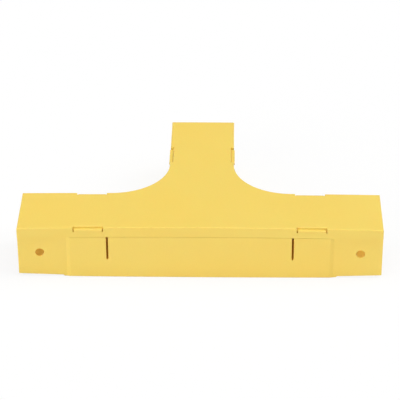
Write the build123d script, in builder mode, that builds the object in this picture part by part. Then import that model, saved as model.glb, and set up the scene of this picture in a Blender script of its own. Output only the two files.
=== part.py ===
from build123d import *
import os

# Horizontal tee of a small fibre duct, in millimetres.
# The origin is on the underside, where the centre lines of the run and the branch cross.
# The run lies along X, the branch leaves it towards +Y, and +Z is up.

# The tee as a whole
run_length = 300.0  # mouth to mouth of the straight run
branch_reach = 150.0  # centre line of the run to the branch's mouth
duct_width = 55.2  # outside width of each arm
overall_height = 48.0  # underside of the base to the top of the cover
bend_radius = 50.8  # duct side of the curved walls, the tightest bend the fibre may have

# The base
wall = 3.2  # side walls below the cover's skirt
floor = 3.0  # bottom of the channel
floor_fillet = 2.0  # between the floor and the walls, inside
sole_fillet = 0.8  # outside bottom edge

# The cover
plate = 2.2  # flat top
skirt = 1.5  # thickness of the turned-down edge
skirt_height = 9.15  # top of the cover to the skirt's lower edge
top_fillet = 1.0  # outer edge of the plate
skirt_lead = 0.4  # bevel inside the skirt's lower edge
lead_angle = 45.0  # of that bevel, in degrees

# Fit of the cover on the base
fit_gap = 0.2  # skirt to the wall behind it
seam_gap = 0.2  # skirt's lower edge to the shoulder of the wall

# Sleeves at the three mouths, where a coupler slides over the base
sleeve_length = 37.7  # mouth to the step in the underside
sleeve_raise = 1.05  # height of that step
sole_ramp = 1.0  # length of that step's slope
sleeve_recess = 1.1  # how far the sleeve's walls stand behind the middle's
wall_ramp_inset = 40.0  # mouth to the foot of the ramp on the walls
wall_ramp = 3.2  # length of that ramp
wall_taper = 0.3  # how much further the sleeve's walls stand in by its mouth
sole_taper = 0.7  # and how much higher its underside is there
mouth_chamfer = 0.6  # inside edge of the channel at each mouth
rivet_inset = 18.0  # mouth to the rivet hole
rivet_height = 23.2  # underside to the rivet hole
rivet_diameter = 7.5

# Snap hooks on the wall tops, and the windows in the cover that they stand in
latch_inset = 58.5  # mouth to the middle of a hook
window_width = 25.0
window_reach = 2.5  # face of the skirt to the edge of the plate behind the hook
window_round = 1.0  # rounding of that edge
window_depth = 4.0  # top of the cover down to the bar that the hook catches
window_side_gap = 1.05  # each side of the hook
window_back_gap = 0.3  # plate's edge to the hook's back
catch_gap = 0.15  # hook's underside to that bar
hook_drop = 1.7  # top of the cover to the top of the hook
hook_proud = 0.65  # how far the hook stands out past the skirt
hook_nose = 0.8  # rounding of the hook's top edge
hook_lip = 0.3  # rounding of its lower edge
hook_corner = 1.2  # rounding of its lower corners, seen from the front

# Relief slits in the walls, one beside each hook
slit_inset = 73.8  # mouth to the middle of the slit
slit_width = 1.8
slit_bottom = 17.2  # underside to the slit's round end

# Sizes that follow from these
half_width = duct_width / 2
inner_half = half_width - wall
upper_half = half_width - skirt - fit_gap  # outer face of the walls behind the skirt
hook_face = half_width + hook_proud
hook_top = overall_height - hook_drop
hook_half = window_width / 2 - window_side_gap
window_edge = half_width - window_reach
hook_back = window_edge + window_back_gap
catch_height = overall_height - window_depth
corner_centre = inner_half + bend_radius  # from either centre line to the curves' common centre
wall_top = overall_height - plate
shoulder = overall_height - skirt_height - seam_gap
past = 10.0  # how far a cut runs beyond what it cuts
near = 0.001  # within this, a point counts as lying on a line or face

# One frame for each arm, at its mouth: x outwards along the arm, y across it, z up
arms = [
    Plane(origin=(run_length / 2, 0, 0), x_dir=(1, 0, 0), z_dir=(0, 0, 1)),
    Plane(origin=(-run_length / 2, 0, 0), x_dir=(-1, 0, 0), z_dir=(0, 0, 1)),
    Plane(origin=(0, branch_reach, 0), x_dir=(0, 1, 0), z_dir=(0, 0, 1)),
]


def upright_along(arm):
    # upright plane on the arm's centre line: x outwards, y up
    return Plane(origin=arm.origin, x_dir=arm.x_dir, z_dir=-arm.y_dir)


def upright_across(arm, inset):
    # upright plane square to the arm, inset from its mouth: x across the arm, y up
    return Plane(origin=arm.from_local_coords((-inset, 0, 0)), x_dir=arm.y_dir, z_dir=arm.x_dir)


def draw_tee(sketch, half, overrun=0.0):
    # two crossing strips, with the two corners between them rounded about the common centres
    Rectangle(run_length + 2 * overrun, 2 * half)
    with Locations((0, (branch_reach + overrun) / 2)):
        Rectangle(2 * half, branch_reach + overrun)
    corners = sketch.vertices().filter_by(lambda v: abs(abs(v.X) - half) + abs(v.Y - half) < near)
    fillet(corners, corner_centre - half)


# The space inside the channel, run past the three mouths
with BuildPart() as channel_space:
    with BuildSketch(Plane.XY.offset(floor)) as outline:
        draw_tee(outline, inner_half, past)
    extrude(amount=overall_height)
    fillet(channel_space.faces().sort_by(Axis.Z)[0].edges(), floor_fillet)


# The two snap hooks of one arm, in the arm's frame
with BuildPart() as hook_pair:
    with BuildSketch(Plane.YZ.offset(-latch_inset)) as section:
        with BuildLine():
            Polyline(
                (inner_half, wall_top),
                (hook_back, wall_top),
                (hook_back, hook_top),
                (hook_face, hook_top),
                (hook_face, catch_height + catch_gap),
                (inner_half, catch_height + catch_gap),
                close=True,
            )
        make_face()
        fillet(section.vertices().group_by(Axis.X)[-1].sort_by(Axis.Y)[-1], hook_nose)
        fillet(section.vertices().group_by(Axis.X)[-1].sort_by(Axis.Y)[0], hook_lip)
        mirror(about=Plane.YZ)
    extrude(amount=hook_half, both=True)

    # lower corners rounded off
    with BuildSketch(Plane.XZ) as front:
        with Locations((-latch_inset, catch_height + catch_gap)):
            Rectangle(2 * hook_half, overall_height, align=(Align.CENTER, Align.MIN))
        fillet(front.vertices().group_by(Axis.Y)[0], hook_corner)
    extrude(amount=half_width + past, both=True, mode=Mode.INTERSECT)


# Base: the open channel with its hooks, in one piece
with BuildPart() as tee_base:
    # lower walls and floor, flush with the skirt
    with BuildSketch() as outline:
        draw_tee(outline, half_width)
    extrude(amount=shoulder)
    fillet(tee_base.faces().sort_by(Axis.Z)[0].edges(), sole_fillet)

    # sleeves: the underside steps up and the walls step in, then both taper to the mouth
    for arm in arms:
        with BuildSketch(upright_along(arm)):
            with BuildLine():
                Polyline(
                    (-sleeve_length, 0),
                    (-sleeve_length + sole_ramp, sleeve_raise),
                    (0, sleeve_raise + sole_taper),
                    (past, sleeve_raise + sole_taper),
                    (past, -past),
                    (-sleeve_length, -past),
                    close=True,
                )
            make_face()
        extrude(amount=half_width + past, both=True, mode=Mode.SUBTRACT)

        with BuildSketch(arm):
            with BuildLine():
                Polyline(
                    (-wall_ramp_inset - wall_ramp, half_width),
                    (-wall_ramp_inset, half_width - sleeve_recess),
                    (0, half_width - sleeve_recess - wall_taper),
                    (past, half_width - sleeve_recess - wall_taper),
                    (past, half_width + past),
                    (-wall_ramp_inset - wall_ramp, half_width + past),
                    close=True,
                )
            make_face()
            mirror(about=Plane.XZ)
        extrude(amount=overall_height, mode=Mode.SUBTRACT)

    # upper walls, which the skirt comes down over
    with BuildSketch(Plane.XY.offset(shoulder)) as outline:
        draw_tee(outline, upper_half)
    extrude(amount=wall_top - shoulder)

    # snap hooks, a pair on each arm
    with Locations(*arms):
        add(hook_pair.part)

    # the channel, open at the top and at the mouths, where its edges are bevelled
    add(channel_space.part, mode=Mode.SUBTRACT)
    for arm in arms:
        mouth = tee_base.faces().sort_by(Axis(arm.origin, arm.x_dir))[-1]
        rim = mouth.edges().filter_by(
            lambda e: abs(arm.to_local_coords(e.center()).Y) < inner_half + near and e.center().Z > floor - near
        )
        chamfer(rim, mouth_chamfer)

    # relief slits, open at the top of the wall and round at the bottom
    for arm in arms:
        with BuildSketch(upright_along(arm)):
            with Locations((-slit_inset, slit_bottom + slit_width / 2)):
                Circle(slit_width / 2)
                Rectangle(slit_width, overall_height, align=(Align.CENTER, Align.MIN))
        extrude(amount=half_width + past, both=True, mode=Mode.SUBTRACT)

    # rivet holes, one in each wall of a sleeve
    for arm in arms:
        with BuildSketch(upright_along(arm)):
            with Locations((-rivet_inset, rivet_height)):
                Circle(rivet_diameter / 2)
        extrude(amount=half_width + past, both=True, mode=Mode.SUBTRACT)

tee_base.part.label = "tee_base"


# Cover: the flat top with its skirt, in one piece
with BuildPart() as snap_cover:
    with BuildSketch(Plane.XY.offset(overall_height - skirt_height)) as outline:
        draw_tee(outline, half_width)
    extrude(amount=skirt_height)
    fillet(snap_cover.faces().sort_by(Axis.Z)[-1].edges(), top_fillet)

    # hollow under the plate, between the skirts
    with BuildSketch(Plane.XY.offset(overall_height - skirt_height)) as outline:
        draw_tee(outline, half_width - skirt, past)
    extrude(amount=skirt_height - plate, mode=Mode.SUBTRACT)

    # bevel inside the skirt's lower edge, which leads it over the walls
    with BuildSketch(Plane.XY.offset(overall_height - skirt_height)) as outline:
        draw_tee(outline, half_width - skirt + skirt_lead, past)
    extrude(amount=skirt_lead, taper=lead_angle, mode=Mode.SUBTRACT)

    # windows for the hooks, through the edge of the plate and the top of the skirt
    for arm in arms:
        with BuildSketch(upright_across(arm, latch_inset)):
            with BuildLine():
                CenterArc((window_edge - window_round, overall_height - window_round), window_round, 0, 90)
                Polyline(
                    (window_edge - window_round, overall_height),
                    (window_edge - window_round, overall_height + past),
                    (half_width + past, overall_height + past),
                    (half_width + past, catch_height),
                    (window_edge, catch_height),
                    (window_edge, overall_height - window_round),
                )
            make_face()
            mirror(about=Plane.YZ)
        extrude(amount=window_width / 2, both=True, mode=Mode.SUBTRACT)

snap_cover.part.label = "snap_cover"


os.makedirs("parts", exist_ok=True)
for piece in (tee_base, snap_cover):
    export_step(piece.part, f"parts/{piece.part.label}.step")
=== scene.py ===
import math

import bmesh
import bpy
from mathutils import Matrix, Vector


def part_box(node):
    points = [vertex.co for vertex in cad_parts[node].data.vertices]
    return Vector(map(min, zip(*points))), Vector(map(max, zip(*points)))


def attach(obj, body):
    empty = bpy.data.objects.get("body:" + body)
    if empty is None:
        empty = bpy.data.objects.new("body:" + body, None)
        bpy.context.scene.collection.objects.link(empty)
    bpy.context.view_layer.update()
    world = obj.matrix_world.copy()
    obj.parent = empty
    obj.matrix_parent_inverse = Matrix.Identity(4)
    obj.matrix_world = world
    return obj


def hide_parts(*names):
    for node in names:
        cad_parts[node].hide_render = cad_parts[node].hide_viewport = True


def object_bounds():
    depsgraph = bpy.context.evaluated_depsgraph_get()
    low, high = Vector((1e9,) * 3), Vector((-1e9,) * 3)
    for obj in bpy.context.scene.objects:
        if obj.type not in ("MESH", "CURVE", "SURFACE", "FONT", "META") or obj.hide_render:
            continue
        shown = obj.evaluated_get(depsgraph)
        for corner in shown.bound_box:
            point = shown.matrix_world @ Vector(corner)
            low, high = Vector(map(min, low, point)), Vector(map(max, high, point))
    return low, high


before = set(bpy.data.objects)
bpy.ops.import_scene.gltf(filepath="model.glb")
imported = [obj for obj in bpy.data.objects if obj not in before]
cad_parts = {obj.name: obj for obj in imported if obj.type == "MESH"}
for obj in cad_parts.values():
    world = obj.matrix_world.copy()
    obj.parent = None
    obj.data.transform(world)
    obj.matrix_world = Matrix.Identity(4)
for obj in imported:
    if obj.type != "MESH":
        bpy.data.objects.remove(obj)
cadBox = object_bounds()

white = (1.0, 1.0, 1.0, 1.0)


# Camera at the photograph's viewing angle

photoCamera = {
    "place": (0.0267, -1.3557, 0.8841),  # metres
    "turn": -1.139,  # degrees about the upright, to the right
    "tilt": 31.34,  # degrees below the horizon
    "roll": -0.267,
    "lens": 173.27,  # millimetres, on the sensor below
    "sensor": 36.0,
    "clip": (0.05, 50.0),  # metres, the nearest and the furthest that it sees
}


def makeCamera(look):
    data = bpy.data.cameras.new("photoCamera")
    data.lens = look["lens"]
    data.sensor_width = look["sensor"]
    data.clip_start, data.clip_end = look["clip"]
    camera = bpy.data.objects.new("photoCamera", data)
    bpy.context.scene.collection.objects.link(camera)
    turn = Matrix.Rotation(math.radians(-look["turn"]), 4, "Z")
    tilt = Matrix.Rotation(math.radians(90 - look["tilt"]), 4, "X")
    roll = Matrix.Rotation(math.radians(look["roll"]), 4, "Z")
    camera.matrix_world = Matrix.Translation(look["place"]) @ turn @ tilt @ roll
    bpy.context.scene.camera = camera
    print("camera: lens", look["lens"], "mm")


# Short ways to add nodes, for every tree below


def addNode(tree, kind, takes=None, **settings):
    # takes gives each input a value, or the output of another node
    node = tree.nodes.new(kind)
    for name, value in settings.items():
        setattr(node, name, value)
    for name, value in (takes or {}).items():
        if isinstance(value, bpy.types.NodeSocket):
            tree.links.new(value, node.inputs[name])
        else:
            node.inputs[name].default_value = value
    return node


def addMath(tree, operation, first, second):
    return addNode(tree, "ShaderNodeMath", {0: first, 1: second}, operation=operation).outputs["Value"]


def addVectorMath(tree, operation, *vectors):
    takes = dict(enumerate(vectors))
    return addNode(tree, "ShaderNodeVectorMath", takes, operation=operation).outputs["Vector"]


def addMix(tree, share, first, second):
    takes = {"Factor": share, "A": first, "B": second}
    return addNode(tree, "ShaderNodeMix", takes, data_type="RGBA").outputs["Result"]


# Light: a plain studio with broad soft lamps and an even light from all round

studioLight = {
    "room": 0.28,  # strength of the even light
    "background": 1.0,  # how bright the camera sees it, where 1 is white
    "spread": 50.0,  # how broad each lamp looks from the object, in degrees
    "lamps": {  # name: the way to the lamp, strength
        "frontLamp": ((-0.7, -0.7, 0.2), 1.53),
        "rightLamp": ((0.7, 0.0, 0.7), 1.46),
        "leftLamp": ((-0.7, 0.0, 0.7), 0.25),
        "topLamp": ((0.0, 0.0, 1.0), 1.0),
    },
}


def makeLight(look):
    world = bpy.data.worlds.new("studio")
    bpy.context.scene.world = world
    world.use_nodes = True
    tree = world.node_tree
    tree.nodes.clear()
    ray = addNode(tree, "ShaderNodeLightPath")
    lit = addNode(tree, "ShaderNodeBackground", {"Color": white, "Strength": look["room"]})
    seen = addNode(tree, "ShaderNodeBackground", {"Color": white, "Strength": look["background"]})
    mix = addNode(tree, "ShaderNodeMixShader", {
        "Fac": ray.outputs["Is Camera Ray"],
        1: lit.outputs["Background"],
        2: seen.outputs["Background"],
    })
    addNode(tree, "ShaderNodeOutputWorld", {"Surface": mix.outputs["Shader"]})
    for name, (way, strength) in look["lamps"].items():
        data = bpy.data.lights.new(name, "SUN")
        data.energy = strength
        data.angle = math.radians(look["spread"])
        lamp = bpy.data.objects.new(name, data)
        bpy.context.scene.collection.objects.link(lamp)
        lamp.rotation_euler = Vector(way).to_track_quat("Z", "Y").to_euler()
    print("light: room", look["room"], "and", len(look["lamps"]), "lamps")


# Floor: white paper, which the camera sees mostly as white, with a light shadow left on it

floorLook = {
    "side": 8.0,  # metres
    "color": (0.92, 0.92, 0.92, 1),
    "shadow": 0.15,  # how much of its shading the camera sees
}


def makeFloor(look):
    half = look["side"] / 2
    corners = [(-half, -half, 0), (half, -half, 0), (half, half, 0), (-half, half, 0)]
    mesh = bpy.data.meshes.new("floor")
    mesh.from_pydata(corners, [], [(0, 1, 2, 3)])
    floor = bpy.data.objects.new("floor", mesh)
    bpy.context.scene.collection.objects.link(floor)
    material = bpy.data.materials.new("floorPaper")
    material.use_nodes = True
    tree = material.node_tree
    tree.nodes.clear()
    ray = addNode(tree, "ShaderNodeLightPath")
    paper = addNode(tree, "ShaderNodeBsdfDiffuse", {"Color": look["color"]})
    plain = addNode(tree, "ShaderNodeEmission", {"Color": white})
    mix = addNode(tree, "ShaderNodeMixShader", {
        "Fac": addMath(tree, "MULTIPLY", ray.outputs["Is Camera Ray"], 1 - look["shadow"]),
        1: paper.outputs["BSDF"],
        2: plain.outputs["Emission"],
    })
    addNode(tree, "ShaderNodeOutputMaterial", {"Surface": mix.outputs["Shader"]})
    mesh.materials.append(material)
    print("floor:", look["side"], "m square")


# Moulded plastic: an even matt yellow, a fine grain from the mould and slow waves in its flat faces

plasticLook = {
    "color": (0.876, 0.648, 0.127),
    "warmColor": (0.886, 0.636, 0.117),  # what the colour drifts to in patches
    "paintedGlowColor": (1.0, 0.66, 0.13),  # painted glow: a deeper, brighter orange on the faces marked as inside, standing in for light that comes through the thin walls and bounces between them
    "patchNoise": (14.0, 3),  # scale and detail, as for each noise: a drift over some 70 mm
    "speckNoise": (900.0, 2),  # specks of pigment, about a millimetre apart
    "speckTone": 0.012,  # how far they lighten or darken it
    "roughness": 0.46,
    "roughnessDrift": 0.07,
    "roughnessNoise": (45.0, 4),
    "waveNoise": (28.0, 1),
    "waveDepth": 0.00006,  # metres
    "grainNoise": (4200.0, 2),  # mould grain, a quarter of a millimetre
    "grainDepth": 0.000012,  # metres
    "glow": 0.12,  # share of the light that spreads inside the plastic
    "glowReach": (1.0, 0.42, 0.12),  # red goes furthest
    "glowScale": 0.0018,  # metres
}

noiseMiddle = (0.3, 0.7)  # most of any noise lies between these


def addNoise(tree, place, noise):
    scale, detail = noise
    takes = {"Vector": place, "Scale": scale, "Detail": detail}
    return addNode(tree, "ShaderNodeTexNoise", takes).outputs["Fac"]


def addRange(tree, value, low, high):
    # spreads the middle of a noise over low to high
    least, most = noiseMiddle
    takes = {"Value": value, "From Min": least, "From Max": most, "To Min": low, "To Max": high}
    return addNode(tree, "ShaderNodeMapRange", takes).outputs["Result"]


def addBump(tree, height, depth, below=None):
    takes = {"Height": height, "Distance": depth, "Strength": 1.0}
    if below:
        takes["Normal"] = below
    return addNode(tree, "ShaderNodeBump", takes).outputs["Normal"]


def makePlastic(name, look, shift):
    material = bpy.data.materials.new(name)
    material.use_nodes = True
    tree = material.node_tree
    finish = tree.nodes["Principled BSDF"].inputs
    finish["Subsurface Weight"].default_value = look["glow"]
    finish["Subsurface Radius"].default_value = look["glowReach"]
    finish["Subsurface Scale"].default_value = look["glowScale"]
    where = addNode(tree, "ShaderNodeTexCoord")
    moved = addNode(tree, "ShaderNodeMapping", {"Vector": where.outputs["Object"], "Location": shift})
    place = moved.outputs["Vector"]

    # colour: it drifts in patches, gets a painted orange glow on the faces marked as inside, standing in for
    # the light through and between the walls, and carries fine specks
    patches = addRange(tree, addNoise(tree, place, look["patchNoise"]), 0, 1)
    drift = addMix(tree, patches, (*look["color"], 1), (*look["warmColor"], 1))
    # painted glow: the faces marked as inside take the deeper orange in place of light that reaches them
    # through and between the walls
    inside = addNode(tree, "ShaderNodeAttribute", attribute_name="inside")
    deep = addMix(tree, inside.outputs["Fac"], drift, (*look["paintedGlowColor"], 1))
    specks = addNoise(tree, place, look["speckNoise"])
    tone = addRange(tree, specks, 1 - look["speckTone"], 1 + look["speckTone"])
    speckled = addNode(tree, "ShaderNodeHueSaturation", {"Color": deep, "Value": tone})
    tree.links.new(speckled.outputs["Color"], finish["Base Color"])

    rough = addNoise(tree, place, look["roughnessNoise"])
    low, high = look["roughness"] - look["roughnessDrift"], look["roughness"] + look["roughnessDrift"]
    tree.links.new(addRange(tree, rough, low, high), finish["Roughness"])

    waves = addBump(tree, addNoise(tree, place, look["waveNoise"]), look["waveDepth"])
    grain = addBump(tree, addNoise(tree, place, look["grainNoise"]), look["grainDepth"], waves)
    tree.links.new(grain, finish["Normal"])
    print("plastic:", name)
    return material


# Both mouldings are copies of their solids, bowed a little along the run as the real ones are

bowShape = {
    "topRise": 0.0007,  # metres that the middle of the top stands higher than drawn
    "frontDroop": 0.00186,  # metres that its front edge hangs lower at the mouths than there
    "backDroop": 0.00091,  # and its back edge
    "soleLift": 0.00075,  # metres that the underside curls up at the mouths
    "cuts": 19,  # across the run, so that its long faces can bend
    "weld": 1e-6,  # metres within which two corners are one
    "insideReach": 0.08,  # metres: a face that looks at a wall nearer than this is an inside one, and gets the painted glow
    "insideLeast": 0.002,  # and further than this, so that the gaps round the hooks stay plain
    "insideRise": 0.65,  # how steeply it looks up, so that a window or a mouth doesn't mislead it
    "insideStart": 0.0001,  # where that look starts, above its own face
}


def addInsideMark(tree, given, place):
    # inside faces, where the orange glow is painted: a ray from the face, out and up, meets this piece or
    # the other one
    other = addNode(tree, "GeometryNodeObjectInfo", {"Object": given["Other Piece"]})
    both = addNode(tree, "GeometryNodeJoinGeometry")
    tree.links.new(given["Geometry"], both.inputs["Geometry"])
    tree.links.new(other.outputs["Geometry"], both.inputs["Geometry"])
    square = addNode(tree, "GeometryNodeInputNormal").outputs["True Normal"]
    up = addNode(tree, "ShaderNodeCombineXYZ", {"Z": given["Inside Rise"]})
    ray = addNode(tree, "GeometryNodeRaycast", {
        "Target Geometry": both.outputs["Geometry"],
        "Source Position": addVectorMath(tree, "MULTIPLY_ADD", square, given["Inside Start"], place),
        "Ray Direction": addVectorMath(tree, "ADD", square, up.outputs["Vector"]),
        "Ray Length": given["Inside Reach"],
    })
    far = addMath(tree, "GREATER_THAN", ray.outputs["Hit Distance"], given["Inside Least"])
    inside = addMath(tree, "MULTIPLY", far, ray.outputs["Is Hit"])
    takes = {"Geometry": given["Geometry"], "Name": "inside", "Value": inside}
    mark = addNode(tree, "GeometryNodeStoreNamedAttribute", takes, data_type="FLOAT", domain="FACE")
    return mark.outputs["Geometry"]


def addBow(tree, given, geometry, place):
    # it grows with the square of the way along the run, from the sole's lift to the top's droop
    parts = addNode(tree, "ShaderNodeSeparateXYZ", {"Vector": place}).outputs
    along = addMath(tree, "DIVIDE", parts["X"], given["Half Length"])
    growth = addMath(tree, "MULTIPLY", along, along)
    height = addMath(tree, "DIVIDE", parts["Z"], given["Height"])
    droop = addNode(tree, "ShaderNodeMapRange", {
        "Value": parts["Y"],
        "From Min": addMath(tree, "MULTIPLY", given["Half Width"], -1.0),
        "From Max": given["Half Width"],
        "To Min": given["Front Droop"],
        "To Max": given["Back Droop"],
    })
    lowered = addMath(tree, "MULTIPLY", droop.outputs["Result"], height)
    raised = addMath(tree, "MULTIPLY", given["Sole Lift"], addMath(tree, "SUBTRACT", 1.0, height))
    curl = addMath(tree, "MULTIPLY", growth, addMath(tree, "SUBTRACT", raised, lowered))
    crown = addMath(tree, "MULTIPLY", given["Top Rise"], height)
    rise = addNode(tree, "ShaderNodeCombineXYZ", {"Z": addMath(tree, "ADD", crown, curl)})
    bend = addNode(tree, "GeometryNodeSetPosition", {"Geometry": geometry, "Offset": rise.outputs["Vector"]})
    return bend.outputs["Geometry"]


def makeBowTree():
    tree = bpy.data.node_groups.new("bowAlongRun", "GeometryNodeTree")
    kinds = {
        "Geometry": "NodeSocketGeometry",
        "Half Length": "NodeSocketFloat",
        "Half Width": "NodeSocketFloat",
        "Height": "NodeSocketFloat",
        "Top Rise": "NodeSocketFloat",
        "Front Droop": "NodeSocketFloat",
        "Back Droop": "NodeSocketFloat",
        "Sole Lift": "NodeSocketFloat",
        "Inside Reach": "NodeSocketFloat",
        "Inside Least": "NodeSocketFloat",
        "Inside Rise": "NodeSocketFloat",
        "Inside Start": "NodeSocketFloat",
        "Other Piece": "NodeSocketObject",
        "Material": "NodeSocketMaterial",
    }
    for name, kind in kinds.items():
        tree.interface.new_socket(name=name, in_out="INPUT", socket_type=kind)
    tree.interface.new_socket(name="Geometry", in_out="OUTPUT", socket_type="NodeSocketGeometry")
    given = addNode(tree, "NodeGroupInput").outputs
    place = addNode(tree, "GeometryNodeInputPosition").outputs["Position"]
    bowed = addBow(tree, given, addInsideMark(tree, given, place), place)
    real = addNode(tree, "GeometryNodeRealizeInstances", {"Geometry": bowed})
    paint = addNode(tree, "GeometryNodeSetMaterial", {
        "Geometry": real.outputs["Geometry"],
        "Material": given["Material"],
    })
    addNode(tree, "NodeGroupOutput", {"Geometry": paint.outputs["Geometry"]})
    print("bow tree:", len(tree.nodes), "nodes")
    return tree


def copySolid(node, shape):
    # the node's triangles joined up and cut across the run, each corner keeping the solid's own normal
    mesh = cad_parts[node].data.copy()
    mesh.materials.clear()
    kept = mesh.attributes.new("solidNormal", "FLOAT_VECTOR", "CORNER")
    for corner, normal in zip(kept.data, mesh.corner_normals):
        corner.vector = normal.vector
    low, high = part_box(node)
    weld, slices = shape["weld"], shape["cuts"] + 1
    work = bmesh.new()
    work.from_mesh(mesh)
    bmesh.ops.remove_doubles(work, verts=work.verts, dist=weld)
    for cut in range(1, slices):
        x = low[0] + (high[0] - low[0]) * cut / slices
        everything = work.verts[:] + work.edges[:] + work.faces[:]
        bmesh.ops.bisect_plane(work, geom=everything, dist=weld, plane_co=(x, 0, 0), plane_no=(1, 0, 0))
    work.to_mesh(mesh)
    work.free()
    return mesh


def keepNormals(mesh, straight):
    # the solid's normals, turned as far as the bow turned each face
    kept = mesh.attributes["solidNormal"]
    normals = []
    for before, after in zip(straight.polygons, mesh.polygons):
        turned = after.normal - before.normal
        for corner in after.loop_indices:
            normals.append((kept.data[corner].vector + turned).normalized())
    mesh.attributes.remove(kept)
    mesh.normals_split_custom_set(normals)


# What sets the two mouldings apart

teeBase = {
    "node": "tee_base",
    "other": "snap_cover",  # the node that closes it
    "slot": "base_plastic",
    "plastic": "basePlastic",
    "shift": (0.0, 0.0, 0.0),  # metres that its plastic's pattern is moved, so that the two differ
}

teeCover = {
    "node": "snap_cover",
    "other": "tee_base",  # the node that it rests on
    "slot": "cover_plastic",
    "plastic": "coverPlastic",
    "shift": (0.7, 0.3, 0.5),
}


def makeMoulding(name, look, shape, tree):
    node, slot = look["node"], look["slot"]
    plastic = makePlastic(look["plastic"], plasticLook, look["shift"])
    straight = copySolid(node, shape)
    piece = bpy.data.objects.new(name, straight)
    bpy.context.scene.collection.objects.link(piece)
    low, high = cadBox
    values = {
        "Half Length": high[0],
        "Half Width": -low[1],
        "Height": high[2],
        "Top Rise": shape["topRise"],
        "Front Droop": shape["frontDroop"],
        "Back Droop": shape["backDroop"],
        "Sole Lift": shape["soleLift"],
        "Inside Reach": shape["insideReach"],
        "Inside Least": shape["insideLeast"],
        "Inside Rise": shape["insideRise"],
        "Inside Start": shape["insideStart"],
        "Other Piece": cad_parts[look["other"]],
        "Material": plastic,
    }
    bow = piece.modifiers.new("bow", "NODES")
    bow.node_group = tree
    for socket in tree.interface.items_tree:
        if socket.in_out == "INPUT" and socket.name in values:
            bow[socket.identifier] = values[socket.name]
    bowed = piece.evaluated_get(bpy.context.evaluated_depsgraph_get())
    mesh = bpy.data.meshes.new_from_object(bowed)
    piece.modifiers.clear()
    piece.data = mesh
    keepNormals(mesh, straight)
    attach(piece, "root")
    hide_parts(node)
    print(name + ":", len(mesh.polygons), "faces")


bpy.context.scene.view_settings.view_transform = "Standard"
makeCamera(photoCamera)
makeLight(studioLight)
makeFloor(floorLook)
bowTree = makeBowTree()
makeMoulding("teeBase", teeBase, bowShape, bowTree)
makeMoulding("teeCover", teeCover, bowShape, bowTree)
